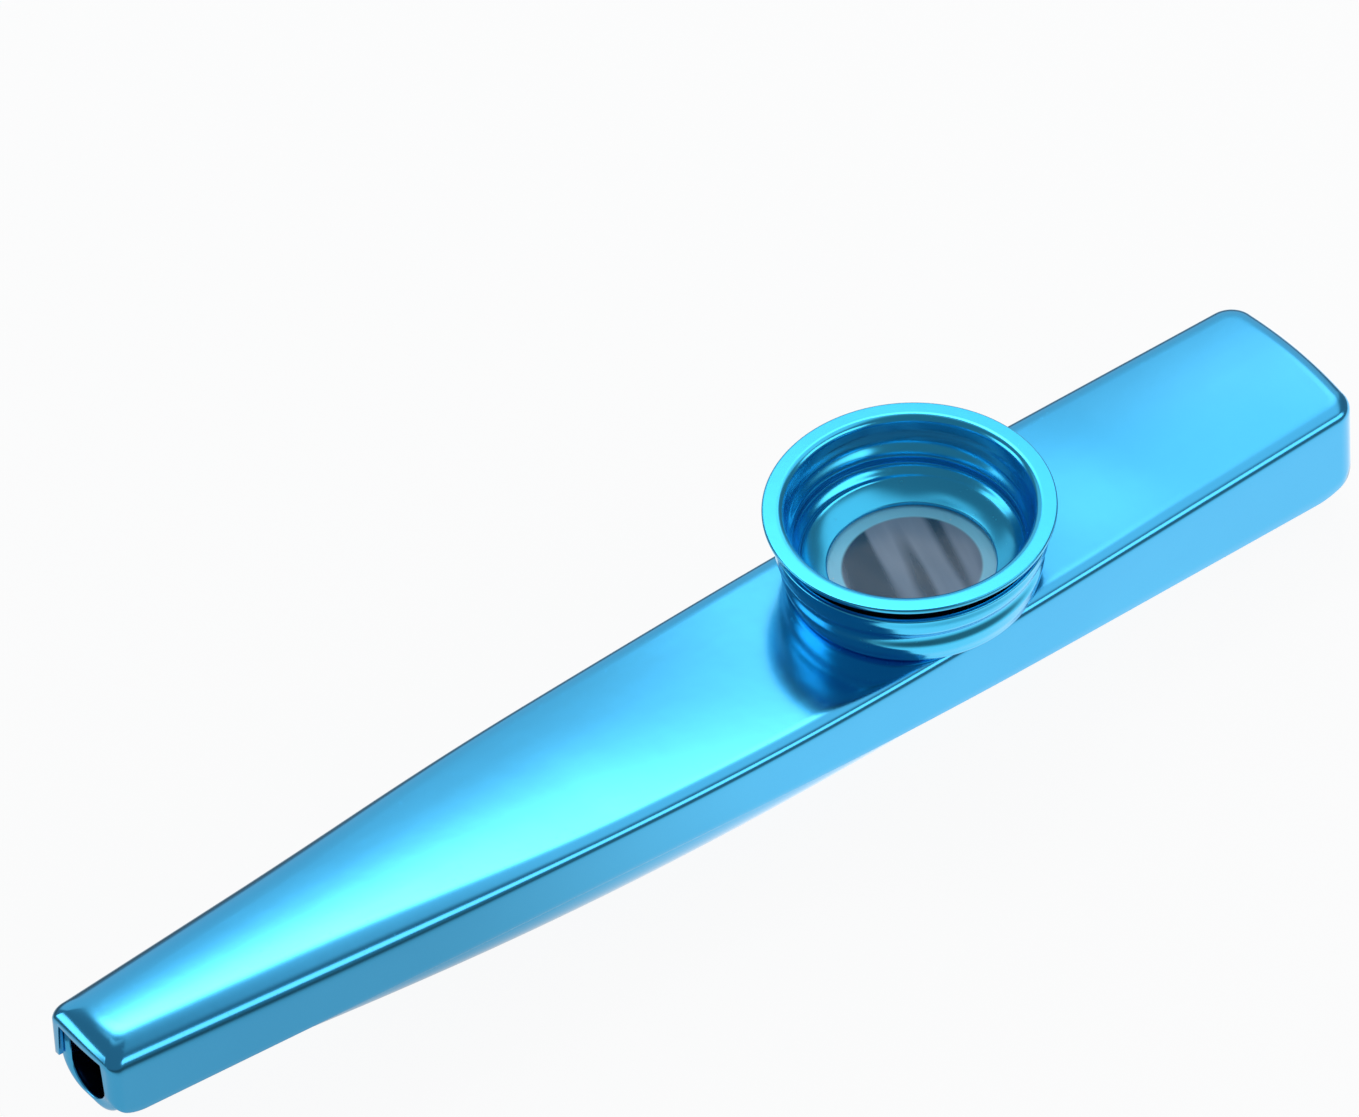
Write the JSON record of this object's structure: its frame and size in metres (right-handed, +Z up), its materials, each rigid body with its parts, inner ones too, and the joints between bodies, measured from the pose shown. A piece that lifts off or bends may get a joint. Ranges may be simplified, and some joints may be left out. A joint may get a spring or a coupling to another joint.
{
  "type": "kazoo",
  "caption": "Metal kazoo: a slim hollow body of nested pressed shells, flat-bottomed and tapered, with a round screw-capped turret that clamps a buzzing membrane.",
  "frame": {"origin": "on the ground under the middle of the body's length, on its plane of symmetry, at the level of the flat keel", "axes": "+X along the body from the narrow exit end to the wide mouth end, +Y across it, +Z up through the turret"},
  "size_m": [0.1204, 0.0232, 0.0181],
  "materials": {
    "shell_metal": "blue anodised sheet, glossy with a soft satin grain",
    "turret_metal": "blue anodised, spun and polished",
    "film": "thin grey-brown translucent film, slightly creased"
  },
  "bodies": {
    "body": {"upper_shell": "shell_metal", "lower_shell": "shell_metal", "turret_neck": "turret_metal"},
    "film_disc": {"membrane": "film"},
    "cap": {"screw_cap": "turret_metal"}
  },
  "joints": [
    {"name": "cap_lift", "type": "slide", "parent": "body", "child": "film_disc", "axis": [0, 0, 1], "range_m": [0, 0.00331]},
    {"name": "cap_turn", "type": "hinge", "parent": "film_disc", "child": "cap", "pos_m": [0.02085, 0, 0.0106], "axis": [0, 0, 1], "range_deg": [0, 540]}
  ],
  "couplings": [
    {"joint": "cap_lift", "follows": "cap_turn", "m_per_rad": 0.00035014}
  ]
}
